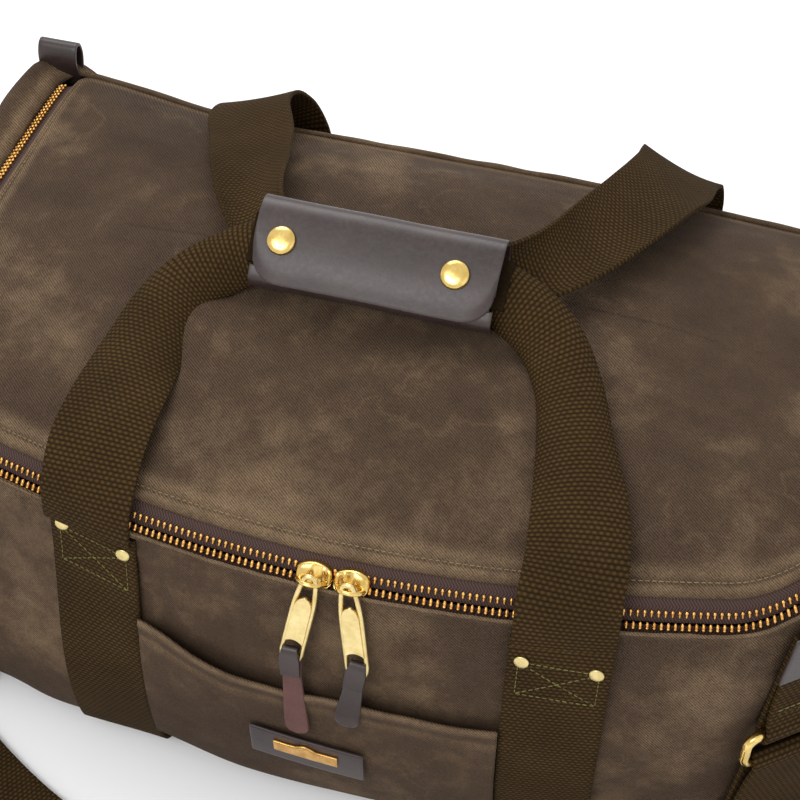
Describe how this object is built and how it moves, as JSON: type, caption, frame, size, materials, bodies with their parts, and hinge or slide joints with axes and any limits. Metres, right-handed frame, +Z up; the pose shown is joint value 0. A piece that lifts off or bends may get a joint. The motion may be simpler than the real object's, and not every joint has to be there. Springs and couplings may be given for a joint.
{
  "type": "weekender bag",
  "caption": "Waxed canvas weekender bag with a U-shaped zipped lid, webbing handles joined in a snapped leather grip, and a shoulder strap lying in front",
  "frame": {"origin": "middle of the flat underside of the base panel, on the surface that the bag stands on", "axes": "+X along the bag's length, +Y from the front to the back, +Z up"},
  "size_m": [0.6046, 0.4567, 0.2959],
  "materials": {
    "canvas": "waxed cotton canvas, matte with paler worn edges",
    "lining": "plain cotton lining",
    "webbing": "heavy cotton webbing, matte",
    "leather": "smooth oiled leather with a soft sheen",
    "brass": "polished brass",
    "zipper_tape": "herringbone cotton tape",
    "board": "stiff plain board"
  },
  "bodies": {
    "root": {"anchor_patch_left": "leather", "anchor_patch_right": "leather", "anchor_rivets": "brass", "back_panel": "canvas", "band_left": "webbing", "band_right": "webbing", "base_board": "board", "base_panel": "canvas", "end_panel_left": "canvas", "end_panel_right": "canvas", "front_panel": "canvas", "inner_pocket": "lining", "label_patch": "leather", "label_plate": "brass", "pocket_hem": "canvas", "ring_anchor_left": "webbing", "ring_anchor_right": "webbing", "slip_pocket": "canvas", "strap_drop_left": "webbing", "strap_drop_right": "webbing", "strap_return": "webbing", "strap_run": "webbing", "zipper_chain_body": "brass", "zipper_end_tab_left": "leather", "zipper_end_tab_right": "leather", "zipper_tape_body": "zipper_tape"},
    "lid": {"top_panel": "canvas", "zipper_tape_lid": "zipper_tape", "zipper_chain_lid": "brass"},
    "handle_front": {"handle_front_core": "webbing", "handle_front_leg_left": "webbing", "handle_front_leg_right": "webbing"},
    "handle_back": {"handle_back_core": "webbing", "handle_back_leg_left": "webbing", "handle_back_leg_right": "webbing", "grip_wrap": "leather"},
    "grip_flap": {"grip_flap": "leather", "snap_caps": "brass"},
    "grip_inner_flap": {"grip_inner_flap": "leather", "snap_studs": "brass"},
    "slider_left": {"slider_left": "brass"},
    "slider_right": {"slider_right": "brass"},
    "pull_left": {"pull_left": "brass"},
    "pull_right": {"pull_right": "brass"},
    "pull_tab_left": {"pull_tab_left": "leather"},
    "pull_tab_right": {"pull_tab_right": "leather"},
    "ring_left": {"ring_left": "brass"},
    "ring_right": {"ring_right": "brass"},
    "strap_adjuster": {"strap_adjuster": "brass"}
  },
  "joints": [
    {"name": "lid_hinge", "type": "hinge", "parent": "root", "child": "lid", "pos_m": [0, 0.15, 0.211], "axis": [-1, 0, 0], "range_deg": [0, 100], "deforming": ["zipper_chain_lid", "zipper_tape_lid", "zipper_end_tab_left", "zipper_end_tab_right"]},
    {"name": "handle_front_swing", "type": "hinge", "parent": "root", "child": "handle_front", "pos_m": [0, -0.17, 0.186], "axis": [1, 0, 0], "range_deg": [0, 196], "deforming": ["handle_front_leg_left", "handle_front_leg_right"]},
    {"name": "handle_back_swing", "type": "hinge", "parent": "root", "child": "handle_back", "pos_m": [0, 0.171, 0.188], "axis": [1, 0, 0], "range_deg": [-191, 0], "deforming": ["handle_back_leg_left", "handle_back_leg_right"]},
    {"name": "grip_flap_hinge", "type": "hinge", "parent": "handle_back", "child": "grip_flap", "pos_m": [-0.01, -0.01118, 0.29322], "axis": [1, 0, 0], "range_deg": [-141, 0]},
    {"name": "grip_inner_flap_hinge", "type": "hinge", "parent": "handle_back", "child": "grip_inner_flap", "pos_m": [-0.01, -0.04073, 0.2662], "axis": [1, 0, 0], "range_deg": [0, 56]},
    {"name": "slider_left_run", "type": "hinge", "parent": "root", "child": "slider_left", "pos_m": [0, 0.572, 0.201], "axis": [0, 0, 1], "range_deg": [-11.5, 0]},
    {"name": "pull_left_hinge", "type": "hinge", "parent": "slider_left", "child": "pull_left", "pos_m": [0.00152, -0.17703, 0.20359], "axis": [-1, 0, 0], "range_deg": [0, 55]},
    {"name": "pull_tab_left_hinge", "type": "hinge", "parent": "pull_left", "child": "pull_tab_left", "pos_m": [-0.00591, -0.18679, 0.1577], "axis": [-1, 0, 0], "range_deg": [0, 29]},
    {"name": "slider_right_run", "type": "hinge", "parent": "root", "child": "slider_right", "pos_m": [0, 0.572, 0.201], "axis": [0, 0, 1], "range_deg": [0, 10.2]},
    {"name": "pull_right_hinge", "type": "hinge", "parent": "slider_right", "child": "pull_right", "pos_m": [0.02072, -0.17675, 0.20359], "axis": [-1, 0, 0], "range_deg": [0, 55]},
    {"name": "pull_tab_right_hinge", "type": "hinge", "parent": "pull_right", "child": "pull_tab_right", "pos_m": [0.02815, -0.1865, 0.1577], "axis": [-1, 0, 0], "range_deg": [0, 29]},
    {"name": "ring_left_hinge", "type": "hinge", "parent": "root", "child": "ring_left", "pos_m": [-0.24346, -0.13224, 0.1285], "axis": [-0.766, 0.6428, 0], "range_deg": [0, 60], "deforming": ["strap_drop_left"]},
    {"name": "ring_right_hinge", "type": "hinge", "parent": "root", "child": "ring_right", "pos_m": [0.24346, -0.13224, 0.1285], "axis": [-0.766, -0.6428, 0], "range_deg": [0, 60], "deforming": ["strap_drop_right"]},
    {"name": "strap_adjuster_slide", "type": "slide", "parent": "root", "child": "strap_adjuster", "axis": [0.9063, 0.4226, 0], "range_m": [-0.015, 0.015], "deforming": ["strap_run", "strap_return"]}
  ],
  "couplings": [
    {"joint": "handle_front_swing", "follows": "lid_hinge", "ratio": 1.95},
    {"joint": "handle_back_swing", "follows": "lid_hinge", "ratio": -1.9},
    {"joint": "grip_flap_hinge", "follows": "lid_hinge", "ratio": -1.4},
    {"joint": "grip_inner_flap_hinge", "follows": "lid_hinge", "ratio": 0.55}
  ]
}
